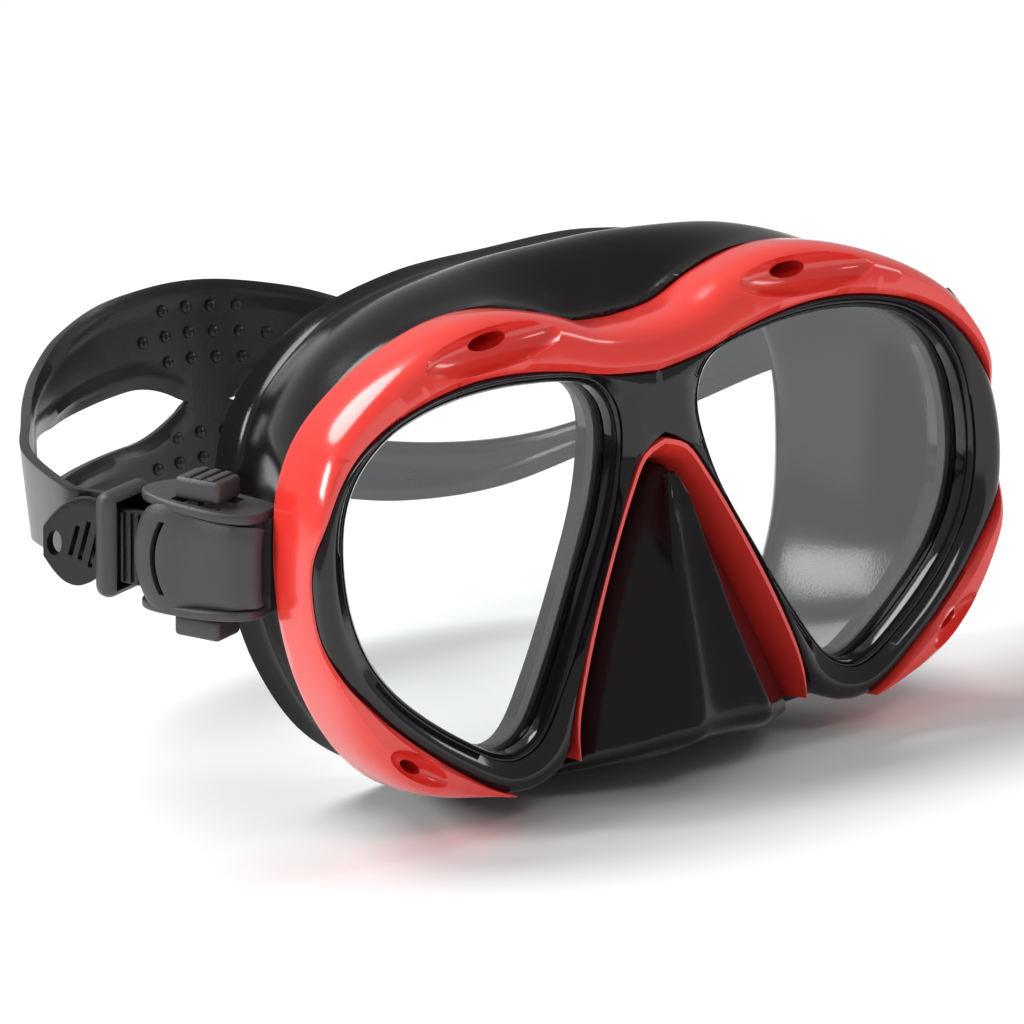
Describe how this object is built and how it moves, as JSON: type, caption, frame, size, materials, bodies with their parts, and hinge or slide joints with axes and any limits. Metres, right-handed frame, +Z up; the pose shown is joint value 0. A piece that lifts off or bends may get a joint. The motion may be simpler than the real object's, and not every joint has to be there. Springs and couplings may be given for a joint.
{
  "type": "diving mask",
  "caption": "Two-lens diving mask with a red frame, black bezel, silicone skirt with nose pocket, and a split-back strap on swivelling quick-adjust buckles.",
  "frame": {"origin": "centre of the overall box, on the plane the mask stands on", "axes": "+Z up, lenses face -Y, the strap runs back along +Y, X across the face"},
  "size_m": [0.2154, 0.189, 0.1052],
  "materials": {
    "red_frame": "polished moulding",
    "black_bezel": "piano black",
    "lens_glass": "clear tempered",
    "gasket": "matt",
    "silicone": "semi-gloss",
    "nylon": "fine satin",
    "steel": "stainless"
  },
  "bodies": {
    "mask": {"main_frame": "red_frame", "front_bezel": "black_bezel", "lens_left": "lens_glass", "lens_right": "lens_glass", "lens_gasket_left": "gasket", "lens_gasket_right": "gasket", "skirt": "silicone", "buckle_lug_left": "nylon", "buckle_lug_right": "nylon", "hinge_pin_left": "steel", "hinge_pin_right": "steel", "strap": "silicone"},
    "buckle_left": {"buckle_body_left": "nylon", "buckle_cover_left": "nylon", "roller_pin_left": "steel", "pawl_pin_left": "steel", "pawl_spring_left": "steel", "strap_end_left": "silicone"},
    "roller_left": {"strap_roller_left": "nylon"},
    "pawl_left": {"ratchet_pawl_left": "nylon"},
    "upper_key_left": {"upper_button_left": "nylon"},
    "lower_key_left": {"lower_button_left": "nylon"},
    "keeper_left": {"strap_keeper_left": "nylon"},
    "buckle_right": {"buckle_body_right": "nylon", "buckle_cover_right": "nylon", "roller_pin_right": "steel", "pawl_pin_right": "steel", "pawl_spring_right": "steel", "strap_end_right": "silicone"},
    "roller_right": {"strap_roller_right": "nylon"},
    "pawl_right": {"ratchet_pawl_right": "nylon"},
    "upper_key_right": {"upper_button_right": "nylon"},
    "lower_key_right": {"lower_button_right": "nylon"},
    "keeper_right": {"strap_keeper_right": "nylon"}
  },
  "joints": [
    {"name": "buckle_swivel_left", "type": "hinge", "parent": "mask", "child": "buckle_left", "pos_m": [0.0846, -0.0579, 0.0607], "axis": [-0.0588, -0.1261, 0.9903], "range_deg": [-10, 22]},
    {"name": "roller_spin_left", "type": "hinge", "parent": "buckle_left", "child": "roller_left", "pos_m": [0.09127, -0.04572, 0.06265], "axis": [-0.0588, -0.1261, 0.9903], "continuous": true},
    {"name": "pawl_lift_left", "type": "hinge", "parent": "buckle_left", "child": "pawl_left", "pos_m": [0.08929, -0.05353, 0.06153], "axis": [-0.0588, -0.1261, 0.9903], "range_deg": [-12, 0]},
    {"name": "upper_press_left", "type": "slide", "parent": "buckle_left", "child": "upper_key_left", "axis": [0.0588, 0.1261, -0.9903], "range_m": [0, 0.0016], "stiffness_N_per_m": 600},
    {"name": "lower_press_left", "type": "slide", "parent": "buckle_left", "child": "lower_key_left", "axis": [-0.0588, -0.1261, 0.9903], "range_m": [0, 0.0016], "stiffness_N_per_m": 600},
    {"name": "keeper_slide_left", "type": "slide", "parent": "buckle_left", "child": "keeper_left", "axis": [0.4185, 0.8975, 0.1392], "range_m": [-0.003, 0.001]},
    {"name": "buckle_swivel_right", "type": "hinge", "parent": "mask", "child": "buckle_right", "pos_m": [-0.0846, -0.0579, 0.0607], "axis": [0.0588, -0.1261, 0.9903], "range_deg": [-22, 10]},
    {"name": "roller_spin_right", "type": "hinge", "parent": "buckle_right", "child": "roller_right", "pos_m": [-0.09127, -0.04572, 0.06265], "axis": [0.0588, -0.1261, 0.9903], "continuous": true},
    {"name": "pawl_lift_right", "type": "hinge", "parent": "buckle_right", "child": "pawl_right", "pos_m": [-0.08929, -0.05353, 0.06153], "axis": [0.0588, -0.1261, 0.9903], "range_deg": [0, 12]},
    {"name": "upper_press_right", "type": "slide", "parent": "buckle_right", "child": "upper_key_right", "axis": [-0.0588, 0.1261, -0.9903], "range_m": [0, 0.0016], "stiffness_N_per_m": 600},
    {"name": "lower_press_right", "type": "slide", "parent": "buckle_right", "child": "lower_key_right", "axis": [0.0588, -0.1261, 0.9903], "range_m": [0, 0.0016], "stiffness_N_per_m": 600},
    {"name": "keeper_slide_right", "type": "slide", "parent": "buckle_right", "child": "keeper_right", "axis": [-0.4185, 0.8975, 0.1392], "range_m": [-0.003, 0.001]}
  ],
  "couplings": [
    {"joint": "lower_press_left", "follows": "upper_press_left", "ratio": 1},
    {"joint": "pawl_lift_left", "follows": "upper_press_left", "rad_per_m": -130.9},
    {"joint": "lower_press_right", "follows": "upper_press_right", "ratio": 1},
    {"joint": "pawl_lift_right", "follows": "upper_press_right", "rad_per_m": 130.9}
  ]
}
